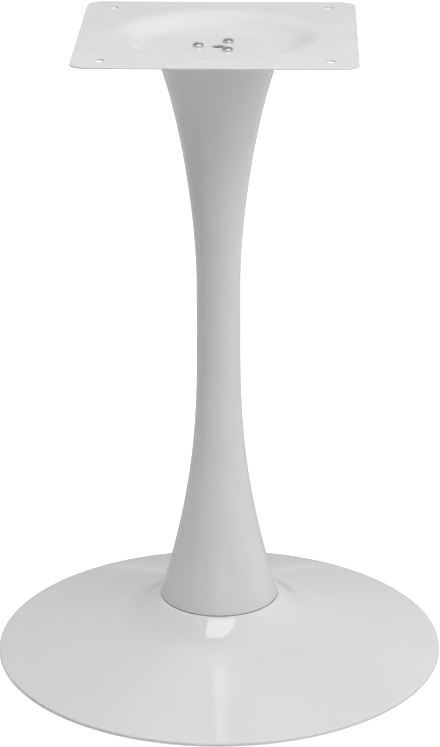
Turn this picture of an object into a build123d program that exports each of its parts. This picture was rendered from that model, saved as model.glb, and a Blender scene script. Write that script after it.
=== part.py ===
from build123d import *
from math import asin, atan, cos, degrees, radians, sin, tan
import os

# A pedestal table base: a square plate on a waisted column on a round foot.
# Millimetres, +Z up, origin on the floor at the column's axis.

# Foot: one steel disc, spun to a shallow cone with a steep neck, and a heel where they meet
foot_radius = 255.0
foot_sheet = 3.5
foot_cone_angle = 14.1
foot_neck_angle = 38.0
foot_neck_radius = 468.0
foot_heel_angle = 35.0
foot_heel_radius = 79.0
seat_inner_bend = 1.5
seat_margin = 1.5
rim_clearance = 0.4
rim_top_round = 1.4
rim_bottom_round = 0.5

# Soft ring glued under the foot's rim, with a flat face on the floor
floor_ring_inset = 3.0
floor_ring_width = 8.0

# Column: one steel tube, spun to a waist between two flares
column_wall = 2.0
column_foot_radius = 67.5
column_waist_radius = 24.65
column_top_radius = 69.5
lower_flare_height = 298.5
waist_length = 79.0
upper_flare_height = 265.0
foot_splay = 16.3
top_splay = 22.0
foot_pull = 122.0
lower_waist_pull = 106.0
upper_waist_pull = 65.5
top_pull = 78.0
column_trim = 6.0

# Top plate: one steel sheet, pressed to a round dish over the column
plate_side = 300.0
plate_sheet = 2.0
plate_corner_radius = 18.0
plate_edge_round = 0.6
dish_floor_margin = 1.5
dish_wall_run = 43.0
dish_depth = 14.5
dish_rim_margin = 4.0
top_hole_edge = 30.0
top_hole_radius = 6.0
centre_hole_radius = 6.5

# Pan-head screws that hold the plate to the column, on a circle
plate_screw_circle = 21.3
plate_screw_count = 3
plate_screw_first_angle = 60.0
plate_screw_radius = 3.0
plate_screw_tip = 3.5
pan_head_radius = 6.0
pan_head_height = 4.6
pan_head_side = 2.6
recess_span = 6.6
recess_arm = 1.9
recess_depth = 2.6
recess_taper = 12.0

# Tapped discs welded into the two ends of the column
top_disc_thickness = 6.0
top_disc_hole_radius = 13.0
foot_disc_thickness = 8.0

# Bolts that pull the column down on the foot, with their washers and plate
foot_bolt_circle = 34.0
foot_bolt_count = 3
foot_bolt_first_angle = 60.0
foot_bolt_radius = 4.0
foot_bolt_tip = 0.7
cap_head_radius = 6.5
cap_head_height = 8.0
cap_head_edge = 0.8
socket_across_flats = 6.0
socket_depth = 4.0
flat_washer_radius = 8.0
flat_washer_thickness = 1.6
spring_washer_radius = 7.4
spring_washer_thickness = 2.2
spring_washer_gap = 1.4
spring_washer_slant = 20.0
clamp_plate_margin = 13.0
clamp_plate_thickness = 4.0
clamp_plate_edge = 1.0

# Clearances of the holes round their fasteners
bolt_clearance = 0.5
thread_clearance = 0.05
washer_clearance = 0.2

# Foot section: where each bend starts, worked in from the rim
cone_slope = tan(radians(foot_cone_angle))
seat_bend_radius = foot_sheet + seat_inner_bend
neck_turn = foot_neck_angle - foot_heel_angle
heel_turn = foot_heel_angle - foot_cone_angle
seat_flat_radius = column_foot_radius + seat_margin
neck_top_radius = seat_flat_radius + seat_bend_radius * sin(radians(foot_neck_angle))
neck_run = foot_neck_radius * (sin(radians(foot_neck_angle)) - sin(radians(foot_heel_angle)))
neck_rise = foot_neck_radius * (cos(radians(foot_heel_angle)) - cos(radians(foot_neck_angle)))
heel_run = foot_heel_radius * (sin(radians(foot_heel_angle)) - sin(radians(foot_cone_angle)))
heel_rise = foot_heel_radius * (cos(radians(foot_cone_angle)) - cos(radians(foot_heel_angle)))
cone_run = foot_radius - neck_top_radius - neck_run - heel_run
cone_rise = cone_run * cone_slope
bend_rise = seat_bend_radius * (1 - cos(radians(foot_neck_angle)))
sheet_drop = foot_sheet / cos(radians(foot_cone_angle))
rim_top = rim_clearance + sheet_drop

# Heights, stacked up from the floor
seat_height = rim_top + cone_rise + heel_rise + neck_rise + bend_rise
waist_low = seat_height + lower_flare_height
waist_high = waist_low + waist_length
column_top = waist_high + upper_flare_height
dish_floor = column_top + plate_sheet
plate_top = dish_floor + dish_depth
clamp_top = seat_height - foot_sheet
clamp_bottom = clamp_top - clamp_plate_thickness
spring_top = clamp_bottom - flat_washer_thickness
bolt_head_seat = spring_top - spring_washer_thickness

# Dish: a flat floor wider than the column, then a wall of two equal, opposite arcs
dish_floor_radius = column_top_radius + dish_floor_margin
dish_rim_radius = dish_floor_radius + dish_wall_run + dish_rim_margin
dish_turn = 2 * degrees(atan(dish_depth / dish_wall_run))
dish_bend_radius = dish_wall_run / (2 * sin(radians(dish_turn)))
top_hole_spacing = plate_side - 2 * top_hole_edge

# Fastener lengths under the head, through all that they clamp
plate_screw_length = plate_sheet + top_disc_thickness + plate_screw_tip
foot_bolt_length = seat_height + foot_disc_thickness + foot_bolt_tip - bolt_head_seat
clamp_plate_radius = seat_flat_radius - clamp_plate_margin


def draw_foot_line():
    """Draw the foot's upper line, from the axis out past the rim."""
    seat = Line((0, seat_height), (seat_flat_radius, seat_height))
    bend = JernArc(seat @ 1, seat % 1, seat_bend_radius, -foot_neck_angle)
    neck = JernArc(bend @ 1, bend % 1, foot_neck_radius, neck_turn)
    heel = JernArc(neck @ 1, neck % 1, foot_heel_radius, heel_turn)
    PolarLine(
        heel @ 1,
        cone_run + 2 * foot_sheet,
        direction=heel % 1,
        length_mode=LengthMode.HORIZONTAL,
    )


def find_rim_edges(builder):
    """Find the level circles at the widest radius, the lowest first."""
    circles = builder.edges().filter_by(GeomType.CIRCLE).filter_by(Plane.XY)
    return circles.group_by(SortBy.RADIUS)[-1].sort_by(Axis.Z)


def draw_column_line(inset):
    """Draw a line of the column upwards, a little past each trimmed end.

    The line lies inside the outer one by inset. It returns its two ends.
    """
    foot_lean = Vector(-sin(radians(foot_splay)), cos(radians(foot_splay)))
    top_lean = Vector(sin(radians(top_splay)), cos(radians(top_splay)))
    upwards = Vector(0, 1)
    foot = Vector(column_foot_radius, seat_height) + foot_lean.rotate(Axis.Z, 90) * inset
    top = Vector(column_top_radius, column_top) + top_lean.rotate(Axis.Z, 90) * inset
    low_waist = Vector(column_waist_radius - inset, waist_low)
    high_waist = Vector(column_waist_radius - inset, waist_high)
    stub = Line(foot - foot_lean * column_trim, foot)
    Bezier(foot, foot + foot_lean * foot_pull, low_waist - upwards * lower_waist_pull, low_waist)
    Line(low_waist, high_waist)
    Bezier(high_waist, high_waist + upwards * upper_waist_pull, top - top_lean * top_pull, top)
    end = Line(top, top + top_lean * column_trim)
    return stub @ 0, end @ 1


def trim_column_ends():
    """Cut the active part off level at both ends of the column."""
    split(bisect_by=Plane.XY.offset(seat_height), keep=Keep.TOP)
    split(bisect_by=Plane.XY.offset(column_top), keep=Keep.BOTTOM)


def draw_dish_line():
    """Draw the dish's upper line, from the axis out to the flat plate."""
    bottom = Line((0, dish_floor), (dish_floor_radius, dish_floor))
    hollow = JernArc(bottom @ 1, bottom % 1, dish_bend_radius, dish_turn)
    shoulder = JernArc(hollow @ 1, hollow % 1, dish_bend_radius, -dish_turn)
    Line(shoulder @ 1, (dish_rim_radius, plate_top))


os.makedirs("parts", exist_ok=True)

# Foot: the spun disc, with its bolt holes in the seat
with BuildPart() as foot:
    with BuildSketch(Plane.XZ):
        with BuildLine():
            draw_foot_line()
            offset(amount=foot_sheet, side=Side.RIGHT)
        make_face()
    revolve(axis=Axis.Z)
    Cylinder(
        foot_radius,
        seat_height,
        align=(Align.CENTER, Align.CENTER, Align.MIN),
        mode=Mode.INTERSECT,
    )
    fillet(find_rim_edges(foot)[-1], rim_top_round)
    fillet(find_rim_edges(foot)[0], rim_bottom_round)
    with BuildSketch(Plane.XY.offset(seat_height)):
        with PolarLocations(foot_bolt_circle, foot_bolt_count, foot_bolt_first_angle):
            Circle(foot_bolt_radius + bolt_clearance)
    extrude(amount=-foot_sheet, mode=Mode.SUBTRACT)
foot.part.label = "foot"
export_step(foot.part, "parts/foot.step")

# Floor ring: a wedge that fills the space between the cone and the floor
ring_outer = foot_radius - floor_ring_inset
ring_inner = ring_outer - floor_ring_width
with BuildPart() as floor_ring:
    with BuildSketch(Plane.XZ):
        with BuildLine():
            Polyline(
                (ring_inner, 0),
                (ring_outer, 0),
                (ring_outer, rim_clearance + floor_ring_inset * cone_slope),
                (ring_inner, rim_clearance + (floor_ring_inset + floor_ring_width) * cone_slope),
                close=True,
            )
        make_face()
    revolve(axis=Axis.Z)
floor_ring.part.label = "floor_ring"
export_step(floor_ring.part, "parts/floor_ring.step")

# Column: the tube itself, then the space inside it, which the discs fill
with BuildPart() as column:
    with BuildSketch(Plane.XZ):
        with BuildLine():
            outer_foot, outer_top = draw_column_line(0)
            inner_foot, inner_top = draw_column_line(column_wall)
            Line(outer_foot, inner_foot)
            Line(outer_top, inner_top)
        make_face()
    revolve(axis=Axis.Z)
    trim_column_ends()
column.part.label = "column"
export_step(column.part, "parts/column.step")

with BuildPart() as column_bore:
    with BuildSketch(Plane.XZ):
        with BuildLine():
            bore_foot, bore_top = draw_column_line(column_wall)
            Polyline(bore_top, (0, bore_top.Y), (0, bore_foot.Y), bore_foot)
        make_face()
    revolve(axis=Axis.Z)
    trim_column_ends()

# Top disc: tapped for the plate's screws, with a wide hole under the plate's own
with BuildPart() as column_top_disc:
    add(column_bore.part)
    split(bisect_by=Plane.XY.offset(column_top - top_disc_thickness), keep=Keep.TOP)
    with BuildSketch(Plane.XY.offset(column_top)):
        Circle(top_disc_hole_radius)
        with PolarLocations(plate_screw_circle, plate_screw_count, plate_screw_first_angle):
            Circle(plate_screw_radius + thread_clearance)
    extrude(amount=-top_disc_thickness, mode=Mode.SUBTRACT)
column_top_disc.part.label = "column_top_disc"
export_step(column_top_disc.part, "parts/column_top_disc.step")

# Foot disc: tapped for the bolts that come up through the foot
with BuildPart() as column_foot_disc:
    add(column_bore.part)
    split(bisect_by=Plane.XY.offset(seat_height + foot_disc_thickness), keep=Keep.BOTTOM)
    with BuildSketch(Plane.XY.offset(seat_height)):
        with PolarLocations(foot_bolt_circle, foot_bolt_count, foot_bolt_first_angle):
            Circle(foot_bolt_radius + thread_clearance)
    extrude(amount=foot_disc_thickness, mode=Mode.SUBTRACT)
column_foot_disc.part.label = "column_foot_disc"
export_step(column_foot_disc.part, "parts/column_foot_disc.step")

# Top plate: the flat square, then the dish, then every hole
with BuildPart() as top_plate:
    with BuildSketch(Plane.XY.offset(plate_top)):
        RectangleRounded(plate_side, plate_side, plate_corner_radius)
    extrude(amount=-plate_sheet)
    fillet(top_plate.edges().filter_by(Plane.XY), plate_edge_round)
    with BuildSketch(Plane.XY.offset(plate_top)):
        Circle(dish_rim_radius)
    extrude(amount=-plate_sheet, mode=Mode.SUBTRACT)
    with BuildSketch(Plane.XZ):
        with BuildLine():
            draw_dish_line()
            offset(amount=plate_sheet, side=Side.RIGHT)
        make_face()
    revolve(axis=Axis.Z)
    with BuildSketch(Plane.XY.offset(plate_top)):
        with GridLocations(top_hole_spacing, top_hole_spacing, 2, 2):
            Circle(top_hole_radius)
    extrude(amount=-plate_sheet, mode=Mode.SUBTRACT)
    with BuildSketch(Plane.XY.offset(dish_floor)):
        Circle(centre_hole_radius)
        with PolarLocations(plate_screw_circle, plate_screw_count, plate_screw_first_angle):
            Circle(plate_screw_radius + bolt_clearance)
    extrude(amount=-plate_sheet, mode=Mode.SUBTRACT)
top_plate.part.label = "top_plate"
export_step(top_plate.part, "parts/top_plate.step")

# Plate screw: a domed head with a tapered cross recess, its seat at height zero
dome_rise = pan_head_height - pan_head_side
dome_radius = (pan_head_radius**2 + dome_rise**2) / (2 * dome_rise)
dome_angle = degrees(asin(pan_head_radius / dome_radius))
with BuildPart() as pan_screw:
    with BuildSketch(Plane.XZ):
        with BuildLine():
            dome = JernArc((0, pan_head_height), (1, 0), dome_radius, -dome_angle)
            Polyline(dome @ 1, (pan_head_radius, 0), (0, 0), (0, pan_head_height))
        make_face()
    revolve(axis=Axis.Z)
    with BuildSketch(Plane.XY):
        Circle(plate_screw_radius)
    extrude(amount=-plate_screw_length)
    with BuildSketch(Plane.XY.offset(pan_head_height)):
        Rectangle(recess_span, recess_arm)
        Rectangle(recess_arm, recess_span)
    extrude(amount=-recess_depth, taper=recess_taper, mode=Mode.SUBTRACT)

plate_screw_places = PolarLocations(plate_screw_circle, plate_screw_count, plate_screw_first_angle)
for number, place in enumerate(plate_screw_places, start=1):
    with BuildPart() as plate_screw:
        with Locations(Location((0, 0, dish_floor)) * place):
            add(pan_screw.part)
    plate_screw.part.label = f"plate_screw_{number}"
    export_step(plate_screw.part, f"parts/plate_screw_{number}.step")

# Clamp plate: spreads the bolts' pull over the foot's seat
with BuildPart() as clamp_plate:
    with BuildSketch(Plane.XY.offset(clamp_bottom)):
        Circle(clamp_plate_radius)
        with PolarLocations(foot_bolt_circle, foot_bolt_count, foot_bolt_first_angle):
            Circle(foot_bolt_radius + bolt_clearance, mode=Mode.SUBTRACT)
    extrude(amount=clamp_plate_thickness)
    bottom_edges = clamp_plate.edges().group_by(Axis.Z)[0]
    chamfer(bottom_edges.sort_by(SortBy.RADIUS)[-1], clamp_plate_edge)
clamp_plate.part.label = "clamp_plate"
export_step(clamp_plate.part, "parts/clamp_plate.step")

# Foot bolt: a socket-head bolt that points up, its head's seat at height zero
with BuildPart() as cap_bolt:
    with BuildSketch(Plane.XY):
        Circle(foot_bolt_radius)
    extrude(amount=foot_bolt_length)
    with BuildSketch(Plane.XY):
        Circle(cap_head_radius)
    extrude(amount=-cap_head_height)
    chamfer(cap_bolt.edges().group_by(Axis.Z)[0], cap_head_edge)
    with BuildSketch(Plane.XY.offset(-cap_head_height)):
        RegularPolygon(socket_across_flats / 2, 6, major_radius=False)
    extrude(amount=socket_depth, mode=Mode.SUBTRACT)

# Flat washer and split spring washer, each with its upper face at height zero
with BuildPart() as flat_washer_form:
    with BuildSketch(Plane.XY):
        Circle(flat_washer_radius)
        Circle(foot_bolt_radius + washer_clearance, mode=Mode.SUBTRACT)
    extrude(amount=-flat_washer_thickness)

with BuildPart() as spring_washer_form:
    with BuildSketch(Plane.XY):
        Circle(spring_washer_radius)
        Circle(foot_bolt_radius + washer_clearance, mode=Mode.SUBTRACT)
    extrude(amount=-spring_washer_thickness)
    slit_plane = Plane.XZ.rotated((0, spring_washer_slant, 0)).offset(-spring_washer_radius)
    with BuildSketch(slit_plane):
        Rectangle(spring_washer_gap, 4 * spring_washer_thickness)
    extrude(amount=spring_washer_radius, mode=Mode.SUBTRACT)

foot_bolt_places = PolarLocations(foot_bolt_circle, foot_bolt_count, foot_bolt_first_angle)
for number, place in enumerate(foot_bolt_places, start=1):
    with BuildPart() as foot_bolt:
        with Locations(Location((0, 0, bolt_head_seat)) * place):
            add(cap_bolt.part)
    foot_bolt.part.label = f"foot_bolt_{number}"
    export_step(foot_bolt.part, f"parts/foot_bolt_{number}.step")

    with BuildPart() as spring_washer:
        with Locations(Location((0, 0, spring_top)) * place):
            add(spring_washer_form.part)
    spring_washer.part.label = f"spring_washer_{number}"
    export_step(spring_washer.part, f"parts/spring_washer_{number}.step")

    with BuildPart() as flat_washer:
        with Locations(Location((0, 0, clamp_bottom)) * place):
            add(flat_washer_form.part)
    flat_washer.part.label = f"flat_washer_{number}"
    export_step(flat_washer.part, f"parts/flat_washer_{number}.step")

print(f"seat height {seat_height:.3f}, column top {column_top:.3f}, total height {plate_top:.3f}")
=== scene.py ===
"""Dresses a pedestal table base: a round foot, a waisted column and a square top plate.

Everything is in metres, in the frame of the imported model: Z up, the floor at
zero, the column's axis at the origin and the photographed side facing -Y.
"""

import logging
import math
from dataclasses import dataclass, field
from enum import Enum

import bmesh
import bpy
from mathutils import Matrix, Vector
from mathutils.geometry import interpolate_bezier


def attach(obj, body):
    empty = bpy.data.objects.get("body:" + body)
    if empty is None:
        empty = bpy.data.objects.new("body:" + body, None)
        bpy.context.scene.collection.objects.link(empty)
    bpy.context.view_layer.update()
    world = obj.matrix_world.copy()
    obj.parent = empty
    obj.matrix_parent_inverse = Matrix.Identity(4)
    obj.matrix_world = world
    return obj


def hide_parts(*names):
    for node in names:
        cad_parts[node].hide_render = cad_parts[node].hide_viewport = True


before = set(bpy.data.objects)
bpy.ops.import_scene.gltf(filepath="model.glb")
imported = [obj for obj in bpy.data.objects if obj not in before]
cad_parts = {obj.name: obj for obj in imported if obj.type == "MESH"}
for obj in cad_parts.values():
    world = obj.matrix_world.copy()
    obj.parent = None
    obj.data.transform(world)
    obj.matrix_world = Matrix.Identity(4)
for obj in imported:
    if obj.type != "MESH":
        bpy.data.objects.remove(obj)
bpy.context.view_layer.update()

BODY = "root"
LOG = logging.getLogger("table_base")

Colour = tuple[float, float, float]
Place = tuple[float, float, float]
Flat = tuple[float, float]


class Slot(Enum):
    """Names of the record's material slots; nothing in the script reads them."""

    GLOSS_PAINT = "gloss_paint"
    SATIN_PAINT = "satin_paint"
    ZINC_PLATE = "zinc_plate"
    SOFT_RING = "soft_ring"


class LampShape(Enum):
    """The outline of a soft lamp."""

    RECTANGLE = "RECTANGLE"
    ROUND = "ELLIPSE"


class MaterialSheet:
    """The nodes of one new material, read on Object coordinates."""

    def __init__(self, name: str) -> None:
        """Start a material with an empty shader.

        Args:
            name: The material's name.
        """
        self.material = bpy.data.materials.new(name)
        self.material.use_nodes = True
        self.tree = self.material.node_tree
        self.tree.nodes.clear()
        self.output = self.tree.nodes.new("ShaderNodeOutputMaterial")
        self.coordinates = self.tree.nodes.new("ShaderNodeTexCoord").outputs["Object"]

    def add(self, kind: str, **settings: object) -> bpy.types.Node:
        """Add a node.

        Args:
            kind: The node's type name.
            **settings: Attributes of the node to set.

        Returns:
            The new node.
        """
        node = self.tree.nodes.new(kind)
        for name, value in settings.items():
            setattr(node, name, value)
        return node

    def link(self, source: bpy.types.NodeSocket, target: bpy.types.NodeSocket) -> None:
        """Join two sockets."""
        self.tree.links.new(source, target)

    def stretched(self, stretch: Place) -> bpy.types.NodeSocket:
        """Scale the Object coordinates, for a pattern that is longer one way.

        Args:
            stretch: The factor on each axis.

        Returns:
            The scaled coordinates.
        """
        mapping = self.add("ShaderNodeMapping", vector_type="POINT")
        mapping.inputs["Scale"].default_value = stretch
        self.link(self.coordinates, mapping.inputs["Vector"])
        return mapping.outputs["Vector"]

    def noise(
        self,
        scale: float,
        detail: float = 2.0,
        roughness: float = 0.5,
        vector: bpy.types.NodeSocket | None = None,
    ) -> bpy.types.NodeSocket:
        """Add a noise pattern.

        Args:
            scale: How many features there are to the metre.
            detail: How many finer layers it has.
            roughness: How strong the finer layers are.
            vector: The coordinates it reads, or the object's own.

        Returns:
            The pattern's value, from 0 to 1.
        """
        node = self.add("ShaderNodeTexNoise", noise_dimensions="3D")
        node.inputs["Scale"].default_value = scale
        node.inputs["Detail"].default_value = detail
        node.inputs["Roughness"].default_value = roughness
        self.link(vector or self.coordinates, node.inputs["Vector"])
        return node.outputs["Fac"]

    def spread(
        self, value: bpy.types.NodeSocket, low: float, high: float, start: float = 0.3, end: float = 0.7
    ) -> bpy.types.NodeSocket:
        """Map a pattern from start and end to low and high.

        Args:
            value: The pattern's value.
            low: The result at start and below.
            high: The result at end and above.
            start: The pattern's value that gives low.
            end: The pattern's value that gives high.

        Returns:
            The mapped value.
        """
        node = self.add("ShaderNodeMapRange", interpolation_type="SMOOTHSTEP")
        node.inputs["From Min"].default_value = start
        node.inputs["From Max"].default_value = end
        node.inputs["To Min"].default_value = low
        node.inputs["To Max"].default_value = high
        self.link(value, node.inputs["Value"])
        return node.outputs["Result"]

    def tint(self, factor: bpy.types.NodeSocket, first: Colour, second: Colour) -> bpy.types.NodeSocket:
        """Blend two colours by a pattern.

        Args:
            factor: The pattern, 0 for the first colour and 1 for the second.
            first: The first colour.
            second: The second colour.

        Returns:
            The blended colour.
        """
        node = self.add("ShaderNodeMix", data_type="RGBA")
        colours = [socket for socket in node.inputs if socket.type == "RGBA"]
        colours[0].default_value = (*first, 1.0)
        colours[1].default_value = (*second, 1.0)
        self.link(factor, node.inputs["Factor"])
        return next(socket for socket in node.outputs if socket.type == "RGBA")

    def bump(self, height: bpy.types.NodeSocket, distance: float) -> bpy.types.NodeSocket:
        """Raise the surface by a pattern.

        Args:
            height: The pattern.
            distance: The height of the whole pattern, in metres.

        Returns:
            The bumped normal.
        """
        node = self.add("ShaderNodeBump")
        node.inputs["Strength"].default_value = 1.0
        node.inputs["Distance"].default_value = distance
        self.link(height, node.inputs["Height"])
        return node.outputs["Normal"]

    def finish(
        self,
        metallic: float,
        refraction: float,
        tint: bpy.types.NodeSocket,
        roughness: bpy.types.NodeSocket,
        normal: bpy.types.NodeSocket,
    ) -> bpy.types.Material:
        """Add the surface's shader and join the patterns to it.

        Args:
            metallic: 1 for metal and 0 for anything else.
            refraction: The index of refraction.
            tint: The colour.
            roughness: The roughness.
            normal: The bumped normal.

        Returns:
            The finished material.
        """
        node = self.add("ShaderNodeBsdfPrincipled")
        node.inputs["Metallic"].default_value = metallic
        node.inputs["IOR"].default_value = refraction
        for name, source in (("Base Color", tint), ("Roughness", roughness), ("Normal", normal)):
            self.link(source, node.inputs[name])
        self.link(node.outputs["BSDF"], self.output.inputs["Surface"])
        return self.material


@dataclass(frozen=True)
class GlossPaint:
    """Gloss white coat of the foot: level, with a faint orange peel under a clear surface."""

    name: str = "gloss_white_coat"
    colour: Colour = (0.815, 0.815, 0.83)
    shade: Colour = (0.80, 0.80, 0.815)
    refraction: float = 1.6
    roughness: Flat = (0.02, 0.035)
    cloud_scale: float = 9.0
    wear_scale: float = 25.0
    peel_scale: float = 60.0
    peel_height: float = 0.000002

    def make(self) -> bpy.types.Material:
        """Make the material."""
        sheet = MaterialSheet(self.name)
        cloud = sheet.spread(sheet.noise(self.cloud_scale, detail=3.0), 0.0, 1.0)
        wear = sheet.spread(sheet.noise(self.wear_scale), *self.roughness)
        peel = sheet.bump(sheet.noise(self.peel_scale, detail=1.0), self.peel_height)
        return sheet.finish(0.0, self.refraction, sheet.tint(cloud, self.colour, self.shade), wear, peel)


@dataclass(frozen=True)
class SatinPaint:
    """Satin white powder coat of the column and the top plate, with its fine grain."""

    name: str = "satin_white_powder_coat"
    colour: Colour = (0.77, 0.77, 0.787)
    shade: Colour = (0.744, 0.744, 0.761)
    refraction: float = 1.5
    roughness: Flat = (0.10, 0.13)
    cloud_scale: float = 14.0
    wear_scale: float = 30.0
    grain_scale: float = 420.0
    grain_height: float = 0.0000015

    def make(self) -> bpy.types.Material:
        """Make the material."""
        sheet = MaterialSheet(self.name)
        cloud = sheet.spread(sheet.noise(self.cloud_scale, detail=4.0, roughness=0.6), 0.0, 1.0)
        wear = sheet.spread(sheet.noise(self.wear_scale), *self.roughness)
        grain = sheet.bump(sheet.noise(self.grain_scale), self.grain_height)
        return sheet.finish(0.0, self.refraction, sheet.tint(cloud, self.colour, self.shade), wear, grain)


@dataclass(frozen=True)
class BareSteel:
    """Plain cut steel of the discs and the clamp plate, with rolling marks and a thin oxide."""

    name: str = "plain_cut_steel"
    colour: Colour = (0.46, 0.46, 0.47)
    shade: Colour = (0.35, 0.345, 0.34)
    refraction: float = 2.5
    roughness: Flat = (0.38, 0.6)
    oxide_scale: float = 45.0
    mark_scale: float = 160.0
    mark_stretch: Place = (0.08, 1.0, 1.0)
    mark_height: float = 0.00004

    def make(self) -> bpy.types.Material:
        """Make the material."""
        sheet = MaterialSheet(self.name)
        oxide = sheet.spread(sheet.noise(self.oxide_scale, detail=5.0, roughness=0.65), 0.0, 1.0)
        marks = sheet.noise(self.mark_scale, detail=3.0, vector=sheet.stretched(self.mark_stretch))
        wear = sheet.spread(marks, *self.roughness)
        rolled = sheet.bump(marks, self.mark_height)
        return sheet.finish(1.0, self.refraction, sheet.tint(oxide, self.colour, self.shade), wear, rolled)


@dataclass(frozen=True)
class ZincPlate:
    """Bright zinc plate of the screws, bolts and washers, slightly warm and clouded."""

    name: str = "bright_zinc_plate"
    colour: Colour = (0.70, 0.69, 0.665)
    shade: Colour = (0.56, 0.55, 0.52)
    refraction: float = 2.5
    roughness: Flat = (0.18, 0.34)
    cloud_scale: float = 420.0
    wear_scale: float = 900.0
    grain_scale: float = 1400.0
    grain_height: float = 0.000006

    def make(self) -> bpy.types.Material:
        """Make the material."""
        sheet = MaterialSheet(self.name)
        cloud = sheet.spread(sheet.noise(self.cloud_scale, detail=3.0, roughness=0.6), 0.0, 1.0)
        wear = sheet.spread(sheet.noise(self.wear_scale), *self.roughness)
        grain = sheet.bump(sheet.noise(self.grain_scale), self.grain_height)
        return sheet.finish(1.0, self.refraction, sheet.tint(cloud, self.colour, self.shade), wear, grain)


@dataclass(frozen=True)
class SoftRing:
    """Matt black moulded rubber of the ring under the foot, also coating the thin bead under the column that
    paints its contact shadow.
    """

    name: str = "matt_black_rubber"
    colour: Colour = (0.05, 0.05, 0.053)
    shade: Colour = (0.035, 0.035, 0.037)
    refraction: float = 1.5
    roughness: Flat = (0.7, 0.88)
    bloom_scale: float = 70.0
    grain_scale: float = 1500.0
    grain_height: float = 0.00003

    def make(self) -> bpy.types.Material:
        """Make the material."""
        sheet = MaterialSheet(self.name)
        bloom = sheet.noise(self.bloom_scale, detail=4.0, roughness=0.6)
        tint = sheet.tint(sheet.spread(bloom, 0.0, 1.0), self.colour, self.shade)
        wear = sheet.spread(bloom, *self.roughness)
        grain = sheet.bump(sheet.noise(self.grain_scale), self.grain_height)
        return sheet.finish(0.0, self.refraction, tint, wear, grain)


def coat_node(node: str, material: bpy.types.Material) -> None:
    """Give a carried-over node its finish.

    Args:
        node: The node's name.
        material: The finish.
    """
    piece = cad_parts[node]
    if not piece.material_slots:
        piece.data.materials.append(material)
    for slot in piece.material_slots:
        slot.material = material
    LOG.info("coated %s with %s", node, material.name)


def make_piece(
    name: str, mesh: bmesh.types.BMesh, material: bpy.types.Material
) -> bpy.types.Object:
    """Turn a finished bmesh into a piece at the origin that rides with the base.

    Args:
        name: The piece's name.
        mesh: The shape, which is freed.
        material: Its finish.

    Returns:
        The new object.
    """
    data = bpy.data.meshes.new(name)
    mesh.to_mesh(data)
    mesh.free()
    data.materials.append(material)
    piece = bpy.data.objects.new(name, data)
    bpy.context.scene.collection.objects.link(piece)
    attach(piece, BODY)
    LOG.info("made %s, %d faces", name, len(data.polygons))
    return piece


class Lathe:
    """A line in the plane of X and Z, drawn point by point and then turned about Z."""

    def __init__(self, radius: float, height: float) -> None:
        """Set the line's first point.

        Args:
            radius: Its distance from the axis.
            height: Its height.
        """
        self.mesh = bmesh.new()
        self.tip = self.mesh.verts.new((radius, 0.0, height))

    def line(self, radius: float, height: float, steps: int = 1) -> "Lathe":
        """Go straight to a point.

        Args:
            radius: Its distance from the axis.
            height: Its height.
            steps: How many edges the line has.

        Returns:
            The lathe, to draw on.
        """
        start, end = self.tip.co.copy(), Vector((radius, 0.0, height))
        for step in range(1, steps + 1):
            made = bmesh.ops.extrude_vert_indiv(self.mesh, verts=[self.tip])
            self.tip = made["verts"][0]
            self.tip.co = start.lerp(end, step / steps)
        return self

    def arc(self, radius: float, height: float, turn: float, steps: int) -> "Lathe":
        """Go round a centre.

        Args:
            radius: The centre's distance from the axis.
            height: The centre's height.
            turn: The turn in degrees, downwards first where it is positive.
            steps: How many edges the arc has.

        Returns:
            The lathe, to draw on.
        """
        made = bmesh.ops.spin(
            self.mesh,
            geom=[self.tip],
            cent=(radius, 0.0, height),
            axis=(0.0, 1.0, 0.0),
            angle=math.radians(turn),
            steps=steps,
        )
        self.tip = next(item for item in made["geom_last"] if isinstance(item, bmesh.types.BMVert))
        return self

    def curve(self, handle: Flat, back: Flat, end: Flat, steps: int) -> "Lathe":
        """Go along a Bezier curve.

        Args:
            handle: The handle at the tip, as radius and height.
            back: The handle at the end.
            end: Where the curve ends.
            steps: How many edges it has.

        Returns:
            The lathe, to draw on.
        """
        start = (self.tip.co.x, self.tip.co.z)
        for point in interpolate_bezier(start, handle, back, end, steps + 1)[1:]:
            self.line(point.x, point.y)
        return self

    def turn(self, segments: int) -> bmesh.types.BMesh:
        """Turn the line about the axis.

        Args:
            segments: How many faces go round it.

        Returns:
            The turned mesh, with its faces pointing outwards where it is closed.
        """
        bmesh.ops.spin(
            self.mesh,
            geom=self.mesh.verts[:] + self.mesh.edges[:],
            cent=(0.0, 0.0, 0.0),
            axis=(0.0, 0.0, 1.0),
            angle=math.tau,
            steps=segments,
            use_merge=True,
        )
        bmesh.ops.remove_doubles(self.mesh, verts=self.mesh.verts, dist=1e-7)
        bmesh.ops.recalc_face_normals(self.mesh, faces=self.mesh.faces)
        return self.mesh


def smooth_but_sharp(mesh: bmesh.types.BMesh, angle: float) -> None:
    """Shade a mesh smooth, with sharp edges where it turns by more than an angle.

    Args:
        mesh: The mesh.
        angle: The angle in degrees.
    """
    for face in mesh.faces:
        face.smooth = True
    for edge in mesh.edges:
        edge.smooth = not (edge.is_manifold and edge.calc_face_angle(0.0) > math.radians(angle))


def step_off(centre: Flat, distance: float, angle: float) -> Flat:
    """Step off from a point, at an angle from straight up towards the outside.

    Args:
        centre: The point, as radius and height.
        distance: How far to go, and backwards where it is negative.
        angle: The angle in degrees.

    Returns:
        The point reached.
    """
    turn = math.radians(angle)
    return centre[0] + distance * math.sin(turn), centre[1] + distance * math.cos(turn)


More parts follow.
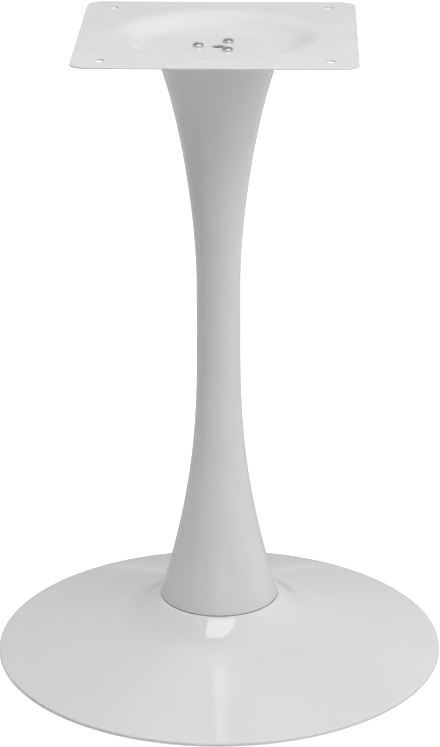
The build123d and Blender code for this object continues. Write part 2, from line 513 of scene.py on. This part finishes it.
@dataclass
class Foot:
    """The spun foot, with the bolt holes in its seat, and the soft ring under its rim."""

    coat: GlossPaint = field(default_factory=GlossPaint)
    radius: float = 0.255
    sheet: float = 0.0035
    clearance: float = 0.0004
    seat_height: float = 0.066
    seat_radius: float = 0.069
    seat_bend: float = 0.0015
    neck_angle: float = 38.0
    neck_radius: float = 0.468
    heel_angle: float = 35.0
    heel_radius: float = 0.079
    cone_angle: float = 14.1
    rim_top_round: float = 0.0014
    rim_low_round: float = 0.0005
    hole_circle: float = 0.034
    hole_radius: float = 0.0045
    hole_angles: tuple[float, float, float] = (60.0, 180.0, 300.0)
    hole_segments: int = 40
    seat_steps: int = 10
    seat_low_steps: int = 6
    neck_steps: int = 16
    heel_steps: int = 30
    cone_steps: int = 12
    rim_top_steps: int = 8
    rim_low_steps: int = 6
    sharp_angle: float = 35.0
    segments: int = 288

    def build(self, rubber: bpy.types.Material) -> None:
        """Build the foot and coat its ring.

        Args:
            rubber: The matt rubber.
        """
        mesh = self.turn_shell()
        self.close_seat(mesh)
        smooth_but_sharp(mesh, self.sharp_angle)
        piece = make_piece("spun_foot", mesh, self.coat.make())
        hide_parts("foot")
        coat_node("floor_ring", rubber)

    def turn_shell(self) -> bmesh.types.BMesh:
        """Turn the shell from the seat's upper edge, round the rim, back to its lower edge.

        Returns:
            The shell, open over the seat.
        """
        neck_turn, heel_turn = self.neck_angle - self.heel_angle, self.heel_angle - self.cone_angle
        bend = self.seat_bend + self.sheet
        bend_centre = self.seat_radius, self.seat_height - bend
        neck_centre = step_off(bend_centre, bend + self.neck_radius, self.neck_angle)
        heel_centre = step_off(neck_centre, self.heel_radius - self.neck_radius, self.heel_angle)
        rim_centre = self.inside_rim(self.rim_top_round, -1.0)
        low_centre = self.inside_rim(self.rim_low_round, 1.0)
        lathe = Lathe(self.seat_radius, self.seat_height)
        lathe.arc(*bend_centre, self.neck_angle, self.seat_steps)
        lathe.arc(*neck_centre, -neck_turn, self.neck_steps)
        lathe.arc(*heel_centre, -heel_turn, self.heel_steps)
        lathe.line(*step_off(rim_centre, self.rim_top_round, self.cone_angle), self.cone_steps)
        lathe.arc(*rim_centre, 90.0 - self.cone_angle, self.rim_top_steps)
        lathe.line(self.radius, low_centre[1])
        lathe.arc(*low_centre, 90.0 + self.cone_angle, self.rim_low_steps)
        lathe.line(*step_off(heel_centre, -self.heel_radius - self.sheet, self.cone_angle), self.cone_steps)
        lathe.arc(*heel_centre, heel_turn, self.heel_steps)
        lathe.arc(*neck_centre, neck_turn, self.neck_steps)
        lathe.arc(*bend_centre, -self.neck_angle, self.seat_low_steps)
        return lathe.turn(self.segments)

    def inside_rim(self, rounding: float, side: float) -> Flat:
        """Find the centre of a rounding at the rim.

        Args:
            rounding: Its radius.
            side: -1 for the rim's upper edge and 1 for its lower edge.

        Returns:
            The centre, as radius and height.
        """
        cone = math.radians(self.cone_angle)
        face = self.clearance + (self.sheet / math.cos(cone) if side < 0.0 else 0.0)
        return self.radius - rounding, face + rounding * math.tan(cone) + side * rounding / math.cos(cone)

    def close_seat(self, mesh: bmesh.types.BMesh) -> None:
        """Close the seat above and below, round its bolt holes.

        Args:
            mesh: The turned shell.
        """
        open_edges = [edge for edge in mesh.edges if edge.is_boundary]
        rings = []
        for height, up in ((self.seat_height, 1.0), (self.seat_height - self.sheet, -1.0)):
            edge_ring = [e for e in open_edges if all(abs(v.co.z - height) < 1e-5 for v in e.verts)]
            for angle in self.hole_angles:
                across = Matrix.Rotation(math.radians(angle), 4, "Z") @ Vector((self.hole_circle, 0.0, 0.0))
                made = bmesh.ops.create_circle(
                    mesh,
                    segments=self.hole_segments,
                    radius=self.hole_radius,
                    matrix=Matrix.Translation((across.x, across.y, height)),
                )
                hole = list({edge for vertex in made["verts"] for edge in vertex.link_edges})
                rings.append((angle, hole))
                edge_ring += hole
            bmesh.ops.triangle_fill(mesh, use_beauty=True, edges=edge_ring, normal=(0.0, 0.0, up))
        for angle in self.hole_angles:
            both = [edge for ring_angle, ring in rings if ring_angle == angle for edge in ring]
            bmesh.ops.bridge_loops(mesh, edges=both)
        bmesh.ops.recalc_face_normals(mesh, faces=mesh.faces)


@dataclass
class Column:
    """The spun column, with a rounded edge at its foot, and the two discs welded into its ends."""

    wall: float = 0.002
    foot_height: float = 0.066
    waist_low: float = 0.3645
    waist_high: float = 0.4435
    top_height: float = 0.7085
    foot_radius: float = 0.0675
    waist_radius: float = 0.02465
    top_radius: float = 0.0695
    foot_splay: float = 16.3
    top_splay: float = 22.0
    foot_pull: float = 0.122
    lower_waist_pull: float = 0.106
    upper_waist_pull: float = 0.0655
    top_pull: float = 0.078
    foot_round: float = 0.0012
    # size of the black bead that paints the contact shadow under the column's foot
    shade_bead_height: float = 0.0004
    shade_bead_inset: float = 0.0002
    round_steps: int = 8
    waist_steps: int = 8
    curve_steps: int = 56
    sharp_angle: float = 35.0
    shade_bead_sharp_angle: float = 60.0
    segments: int = 192

    def build(self, paint: bpy.types.Material, metal: bpy.types.Material, rubber: bpy.types.Material) -> None:
        """Build the column and the black bead of painted contact shadow under it, and coat its discs.

        Args:
            paint: The satin paint.
            metal: The bare steel.
            rubber: The matt rubber, also used for the bead of painted contact shadow.
        """
        mesh = self.turn_tube()
        smooth_but_sharp(mesh, self.sharp_angle)
        piece = make_piece("spun_column", mesh, paint)
        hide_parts("column")
        # a black bead under the column's foot paints the contact shadow where it meets the seat
        shade_bead = self.turn_shade_bead()
        smooth_but_sharp(shade_bead, self.shade_bead_sharp_angle)
        make_piece("foot_contact_shade_bead", shade_bead, rubber)
        coat_node("column_top_disc", metal)
        coat_node("column_foot_disc", metal)

    def turn_shade_bead(self) -> bmesh.types.BMesh:
        """Turn the thin black bead between the column's rounded edge and the foot's seat: painted shade
        standing in for the contact shadow where they meet.

        Returns:
            The turned bead.
        """
        outer, low = self.foot_radius - self.shade_bead_inset, self.foot_height
        inner, high = outer - self.wall / 2.0, low + self.shade_bead_height
        lathe = Lathe(inner, low)
        lathe.line(outer, low)
        lathe.line(outer, low + self.shade_bead_height * 0.7)
        lathe.line(outer - self.shade_bead_height * 0.5, high)
        lathe.line(inner, high)
        lathe.line(inner, low)
        return lathe.turn(self.segments)

    def turn_tube(self) -> bmesh.types.BMesh:
        """Turn the tube: up its outer line, then down its inner one.

        Returns:
            The turned mesh.
        """
        splay, top_lean = math.radians(self.foot_splay), math.radians(self.top_splay)
        foot, top = (self.foot_radius, self.foot_height), (self.top_radius, self.top_height)
        inner = self.waist_radius - self.wall
        inner_foot = self.foot_radius - self.wall / math.cos(splay), self.foot_height
        inner_top = self.top_radius - self.wall / math.cos(top_lean), self.top_height
        round_centre = (
            self.foot_radius - self.foot_round * (math.tan(splay) + 1.0 / math.cos(splay)),
            self.foot_height + self.foot_round,
        )
        lathe = Lathe(round_centre[0], self.foot_height)
        lathe.arc(*round_centre, -90.0 - self.foot_splay, self.round_steps)
        lathe.curve(
            step_off(foot, self.foot_pull, -self.foot_splay),
            (self.waist_radius, self.waist_low - self.lower_waist_pull),
            (self.waist_radius, self.waist_low),
            self.curve_steps,
        )
        lathe.line(self.waist_radius, self.waist_high, self.waist_steps)
        lathe.curve(
            (self.waist_radius, self.waist_high + self.upper_waist_pull),
            step_off(top, -self.top_pull, self.top_splay),
            top,
            self.curve_steps,
        )
        lathe.line(*inner_top)
        lathe.curve(
            step_off(inner_top, -self.top_pull, self.top_splay),
            (inner, self.waist_high + self.upper_waist_pull),
            (inner, self.waist_high),
            self.curve_steps,
        )
        lathe.line(inner, self.waist_low, self.waist_steps)
        lathe.curve(
            (inner, self.waist_low - self.lower_waist_pull),
            step_off(inner_foot, self.foot_pull, -self.foot_splay),
            inner_foot,
            self.curve_steps,
        )
        lathe.line(round_centre[0], self.foot_height)
        return lathe.turn(self.segments)


@dataclass
class PlateScrews:
    """The three cross-recess pan-head screws in the dish."""

    seat: float = 0.7105
    circle: float = 0.0213
    angles: tuple[float, float, float] = (60.0, 180.0, 300.0)
    recess_turns: tuple[float, float, float] = (38.0, 52.0, 30.0)
    head_radius: float = 0.006
    head_height: float = 0.0046
    side_height: float = 0.0026
    side_round: float = 0.0007
    shank_radius: float = 0.003
    shank_length: float = 0.012
    recess_arm: float = 0.0022
    recess_span: float = 0.0070
    recess_depth: float = 0.0026
    recess_taper: float = 0.72
    recess_rise: float = 0.35
    tip_chamfer: float = 0.0006
    dome_steps: int = 14
    round_steps: int = 4
    sharp_angle: float = 40.0
    segments: int = 64

    def build(self, metal: bpy.types.Material) -> None:
        """Build each screw in its place.

        Args:
            metal: The zinc plate.
        """
        for number, (angle, turn) in enumerate(zip(self.angles, self.recess_turns), start=1):
            mesh = self.turn_head()
            self.sink_recess(mesh)
            smooth_but_sharp(mesh, self.sharp_angle)
            place = (
                Matrix.Rotation(math.radians(angle), 4, "Z")
                @ Matrix.Translation((self.circle, 0.0, self.seat))
                @ Matrix.Rotation(math.radians(turn - angle), 4, "Z")
            )
            bmesh.ops.transform(mesh, matrix=place, verts=mesh.verts)
            piece = make_piece(f"pan_head_screw_{number}", mesh, metal)
            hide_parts(f"plate_screw_{number}")

    def turn_head(self) -> bmesh.types.BMesh:
        """Turn the domed head and the shank, with the head's seat at height zero.

        Returns:
            The turned mesh.
        """
        rise = self.head_height - self.side_height
        dome = (self.head_radius**2 + rise**2) / (2.0 * rise)
        half = math.degrees(math.asin(self.head_radius / dome))
        lathe = Lathe(0.0, self.head_height)
        lathe.arc(0.0, self.head_height - dome, half, self.dome_steps)
        lathe.line(self.head_radius, 0.0)
        lathe.line(self.shank_radius, 0.0)
        lathe.line(self.shank_radius, -self.shank_length + self.tip_chamfer)
        lathe.line(self.shank_radius - self.tip_chamfer, -self.shank_length)
        lathe.line(0.0, -self.shank_length)
        mesh = lathe.turn(self.segments)
        shoulder = [
            edge
            for edge in mesh.edges
            if all(
                abs(math.hypot(v.co.x, v.co.y) - self.head_radius) < 1e-6
                and abs(v.co.z - self.side_height) < 1e-6
                for v in edge.verts
            )
        ]
        bmesh.ops.bevel(
            mesh,
            geom=shoulder,
            offset=self.side_round,
            offset_type="OFFSET",
            segments=self.round_steps,
            profile=0.5,
            affect="EDGES",
            material=-1,
        )
        return mesh

    def sink_recess(self, mesh: bmesh.types.BMesh) -> None:
        """Cut the outline of a cross into the dome and push it down.

        Args:
            mesh: The turned screw.
        """
        arm, span = self.recess_arm / 2.0, self.recess_span / 2.0
        for axis in (Vector((1.0, 0.0, 0.0)), Vector((0.0, 1.0, 0.0))):
            for place in (-span, -arm, arm, span):
                top = [face for face in mesh.faces if face.calc_center_median().z > self.side_height]
                near = {v for face in top for v in face.verts}
                edges = {edge for face in top for edge in face.edges}
                bmesh.ops.bisect_plane(
                    mesh,
                    geom=list(near) + list(edges) + top,
                    dist=1e-7,
                    plane_co=axis * place,
                    plane_no=axis,
                )
        cross = [face for face in mesh.faces if self.in_cross(face.calc_center_median(), arm, span)]
        sunk = bmesh.ops.extrude_face_region(mesh, geom=cross)["geom"]
        bmesh.ops.delete(mesh, geom=cross, context="FACES")
        floor = [item for item in sunk if isinstance(item, bmesh.types.BMVert)]
        for vertex in floor:
            reach = math.hypot(vertex.co.x, vertex.co.y) / span
            vertex.co.x *= self.recess_taper
            vertex.co.y *= self.recess_taper
            vertex.co.z = self.head_height - self.recess_depth * (1.0 - self.recess_rise * reach**2)

    def in_cross(self, point: Vector, arm: float, span: float) -> bool:
        """Say whether a point on the dome lies inside the cross.

        Args:
            point: The point.
            arm: Half an arm's width.
            span: Half the cross's span.

        Returns:
            True where the point is inside.
        """
        if point.z <= self.side_height:
            return False
        across, along = abs(point.x), abs(point.y)
        return (across < arm and along < span) or (along < arm and across < span)


@dataclass
class TopPlate:
    """The pressed top plate and its three screws."""

    screws: PlateScrews = field(default_factory=PlateScrews)

    def build(self, paint: bpy.types.Material, metal: bpy.types.Material) -> None:
        """Coat the plate and build its screws.

        Args:
            paint: The satin paint.
            metal: The zinc plate.
        """
        coat_node("top_plate", paint)
        self.screws.build(metal)


@dataclass
class FootBolts:
    """The clamp plate and the three bolts, with their washers, under the foot."""

    count: int = 3

    def build(self, steel: bpy.types.Material, zinc: bpy.types.Material) -> None:
        """Coat the clamp plate, the bolts and the washers.

        Args:
            steel: The bare steel.
            zinc: The zinc plate.
        """
        coat_node("clamp_plate", steel)
        for number in range(1, self.count + 1):
            for kind in ("foot_bolt", "spring_washer", "flat_washer"):
                coat_node(f"{kind}_{number}", zinc)


@dataclass(frozen=True)
class Lamp:
    """One soft lamp, which the camera itself doesn't see."""

    name: str
    place: Place
    target: Place
    width: float
    height: float
    power: float
    shape: LampShape = LampShape.RECTANGLE
    mirrored: bool = True
    turn: float = 0.0

    def hang(self) -> bpy.types.Object:
        """Hang the lamp and point it at its target.

        Returns:
            The lamp's object.
        """
        data = bpy.data.lights.new(self.name, "AREA")
        data.shape = self.shape.value
        data.size = self.width
        data.size_y = self.height
        data.energy = self.power
        lamp = bpy.data.objects.new(self.name, data)
        bpy.context.scene.collection.objects.link(lamp)
        lamp.location = self.place
        aim = Vector(self.target) - Vector(self.place)
        facing = aim.to_track_quat("-Z", "Y").to_matrix().to_4x4()
        lamp.rotation_euler = (facing @ Matrix.Rotation(math.radians(self.turn), 4, "Z")).to_euler()
        lamp.visible_camera = False
        lamp.visible_glossy = self.mirrored
        LOG.info("hung %s, %.3g W", self.name, self.power)
        return lamp


@dataclass
class Studio:
    """A white floor under a white dome that gloss sees fade out overhead, with soft lamps."""

    floor_radius: float = 11.5
    floor_drop: float = 0.0002
    floor_segments: int = 96
    shadow_start: float = 0.35
    shadow_end: float = 1.6
    dome_radius: float = 11.0
    dome_foot: float = -0.3
    dome_segments: int = 64
    dome_rings: int = 32
    fade_start: float = 0.6
    fade_end: float = 8.0
    horizon_glow: float = 0.52
    overhead_glow: float = 0.8
    room_light: float = 0.064
    floor_glow: float = 0.55
    floor_white: float = 0.8
    floor_mirrored: float = 0.25
    lamps: tuple[Lamp, ...] = (
        Lamp("front_right_softbox", (1.75, -1.75, 2.35), (0.0, 0.0, 0.35), 1.7, 1.7, 26.8),
        Lamp("front_top_softbox", (0.0, -1.6, 3.0), (0.0, -0.2, 0.0), 2.0, 1.4, 9.8),
        Lamp("front_low_softbox", (0.3, -3.0, 0.9), (0.0, 0.0, 0.35), 1.6, 1.2, 5.0),
        Lamp("right_softbox", (2.6, 0.2, 1.1), (0.0, 0.0, 0.45), 1.4, 1.8, 12.2, mirrored=False),
        Lamp("left_softbox", (-2.6, 0.2, 1.1), (0.0, 0.0, 0.45), 1.4, 1.8, 4.0, mirrored=False),
        Lamp("back_right_softbox", (2.0, 2.0, 1.6), (0.0, 0.0, 0.45), 1.6, 1.6, 14.4, mirrored=False),
        Lamp("back_left_softbox", (-2.0, 2.0, 1.6), (0.0, 0.0, 0.45), 1.6, 1.6, 24.2, mirrored=False),
        Lamp("ceiling_softbox", (0.0, 0.0, 3.2), (0.0, 0.0, 0.0), 2.6, 2.6, 25.6, mirrored=False),
        Lamp("neck_softbox", (0.131, -0.854, 2.26), (0.131, -0.854, 0.0), 1.19, 1.05, 11.8, turn=-3.65),
        Lamp("back_right_spot", (2.13, 1.29, 1.95), (0.05, -0.05, 0.06), 0.09, 0.09, 1.3, LampShape.ROUND),
        Lamp("streak_strip", (0.0042, -0.045, 0.239), (0.0042, -1.0, 0.239), 0.020, 0.152, 0.0045, turn=1.6),
    )

    def build(self) -> None:
        """Build the floor, the dome and the lamps."""
        self.lay_floor()
        self.raise_dome()
        for lamp in self.lamps:
            lamp.hang()

    def lay_floor(self) -> None:
        """Lay the floor: a matt white disc that takes shadows near the base and is plain white far off."""
        sheet = MaterialSheet("white_floor")
        across = sheet.add("ShaderNodeVectorMath", operation="LENGTH")
        sheet.link(sheet.coordinates, across.inputs[0])
        far = sheet.spread(across.outputs["Value"], self.floor_glow, 1.0, self.shadow_start, self.shadow_end)
        seen = self.seen_rays(sheet, self.horizon_glow)
        glow = sheet.add("ShaderNodeMath", operation="MULTIPLY")
        sheet.link(seen, glow.inputs[0])
        sheet.link(far, glow.inputs[1])
        path = sheet.add("ShaderNodeLightPath")
        white = sheet.spread(path.outputs["Is Glossy Ray"], self.floor_white, self.floor_mirrored, 0.0, 1.0)
        matt = sheet.add("ShaderNodeBsdfDiffuse")
        sheet.link(white, matt.inputs["Color"])
        both = sheet.add("ShaderNodeAddShader")
        sheet.link(matt.outputs["BSDF"], both.inputs[0])
        sheet.link(self.shine(sheet, glow.outputs["Value"]), both.inputs[1])
        sheet.link(both.outputs["Shader"], sheet.output.inputs["Surface"])
        mesh = bmesh.new()
        bmesh.ops.create_circle(mesh, cap_ends=True, segments=self.floor_segments, radius=self.floor_radius)
        bmesh.ops.translate(mesh, vec=(0.0, 0.0, -self.floor_drop), verts=mesh.verts)
        self.add_stage("studio_floor", mesh, sheet.material)

    def raise_dome(self) -> None:
        """Raise the dome: white to the camera, and to gloss a white that fades out overhead."""
        sheet = MaterialSheet("white_dome")
        axes = sheet.add("ShaderNodeSeparateXYZ")
        sheet.link(sheet.coordinates, axes.inputs["Vector"])
        fade = sheet.spread(axes.outputs["Z"], 1.0, self.overhead_glow, self.fade_start, self.fade_end)
        glow = sheet.add("ShaderNodeMath", operation="MULTIPLY")
        sheet.link(self.seen_rays(sheet, self.horizon_glow), glow.inputs[0])
        sheet.link(fade, glow.inputs[1])
        path = sheet.add("ShaderNodeLightPath")
        white = sheet.add("ShaderNodeMath", operation="MAXIMUM")
        sheet.link(path.outputs["Is Camera Ray"], white.inputs[0])
        sheet.link(glow.outputs["Value"], white.inputs[1])
        room = sheet.add("ShaderNodeMath", operation="MULTIPLY")
        room.inputs[1].default_value = self.room_light
        sheet.link(path.outputs["Is Diffuse Ray"], room.inputs[0])
        level = sheet.add("ShaderNodeMath", operation="MAXIMUM")
        sheet.link(white.outputs["Value"], level.inputs[0])
        sheet.link(room.outputs["Value"], level.inputs[1])
        sheet.link(self.shine(sheet, level.outputs["Value"]), sheet.output.inputs["Surface"])
        mesh = bmesh.new()
        bmesh.ops.create_uvsphere(
            mesh, u_segments=self.dome_segments, v_segments=self.dome_rings, radius=self.dome_radius
        )
        bmesh.ops.bisect_plane(
            mesh,
            geom=mesh.verts[:] + mesh.edges[:] + mesh.faces[:],
            plane_co=(0.0, 0.0, self.dome_foot),
            plane_no=(0.0, 0.0, -1.0),
            clear_outer=True,
        )
        bmesh.ops.reverse_faces(mesh, faces=mesh.faces)
        self.add_stage("studio_dome", mesh, sheet.material)

    def seen_rays(self, sheet: MaterialSheet, mirrored: float) -> bpy.types.NodeSocket:
        """Find the rays of the camera, of gloss and of glass.

        Args:
            sheet: The material that asks.
            mirrored: What gloss and glass rays give.

        Returns:
            1 on camera rays, mirrored on those of gloss and glass, and 0 on the rest.
        """
        path = sheet.add("ShaderNodeLightPath")
        gloss = sheet.add("ShaderNodeMath", operation="MAXIMUM")
        sheet.link(path.outputs["Is Glossy Ray"], gloss.inputs[0])
        sheet.link(path.outputs["Is Transmission Ray"], gloss.inputs[1])
        dimmed = sheet.add("ShaderNodeMath", operation="MULTIPLY")
        dimmed.inputs[1].default_value = mirrored
        sheet.link(gloss.outputs["Value"], dimmed.inputs[0])
        seen = sheet.add("ShaderNodeMath", operation="MAXIMUM")
        sheet.link(path.outputs["Is Camera Ray"], seen.inputs[0])
        sheet.link(dimmed.outputs["Value"], seen.inputs[1])
        return seen.outputs["Value"]

    def shine(self, sheet: MaterialSheet, strength: bpy.types.NodeSocket) -> bpy.types.NodeSocket:
        """Add a white glow.

        Args:
            sheet: The material that glows.
            strength: How bright it is.

        Returns:
            The glow's shader.
        """
        node = sheet.add("ShaderNodeEmission")
        node.inputs["Color"].default_value = (1.0, 1.0, 1.0, 1.0)
        sheet.link(strength, node.inputs["Strength"])
        return node.outputs["Emission"]

    def add_stage(self, name: str, mesh: bmesh.types.BMesh, material: bpy.types.Material) -> None:
        """Add a piece of the studio.

        Args:
            name: Its name.
            mesh: Its shape, which is freed.
            material: Its surface.
        """
        data = bpy.data.meshes.new(name)
        mesh.to_mesh(data)
        mesh.free()
        data.materials.append(material)
        surface = bpy.data.objects.new(name, data)
        bpy.context.scene.collection.objects.link(surface)
        LOG.info("set up %s", name)


@dataclass(frozen=True)
class PhotoCamera:
    """The camera at the photograph's place, angle and lens."""

    place: Place = (0.0848, -2.9735, 1.4485)
    heading: float = 1.606
    tilt: float = 69.476
    roll: float = -0.128
    lens: float = 136.43
    sensor: float = 36.0

    def set_up(self) -> None:
        """Make the camera and look through it."""
        data = bpy.data.cameras.new("photo_camera")
        data.lens = self.lens
        data.sensor_width = self.sensor
        data.sensor_fit = "AUTO"
        data.clip_start = 0.05
        data.clip_end = 60.0
        camera = bpy.data.objects.new("photo_camera", data)
        bpy.context.scene.collection.objects.link(camera)
        camera.matrix_world = (
            Matrix.Translation(self.place)
            @ Matrix.Rotation(math.radians(self.heading), 4, "Z")
            @ Matrix.Rotation(math.radians(self.tilt), 4, "X")
            @ Matrix.Rotation(math.radians(self.roll), 4, "Z")
        )
        bpy.context.scene.camera = camera


def main() -> None:
    """Build every sub-assembly in order, then the studio and the camera."""
    logging.basicConfig(level=logging.INFO, format="%(name)s: %(message)s")
    bpy.context.scene.view_settings.view_transform = "Standard"
    satin, steel = SatinPaint().make(), BareSteel().make()
    zinc, rubber = ZincPlate().make(), SoftRing().make()
    Foot().build(rubber)
    Column().build(satin, steel, rubber)
    TopPlate().build(satin, zinc)
    FootBolts().build(steel, zinc)
    Studio().build()
    PhotoCamera().set_up()


if __name__ == "__main__":
    main()
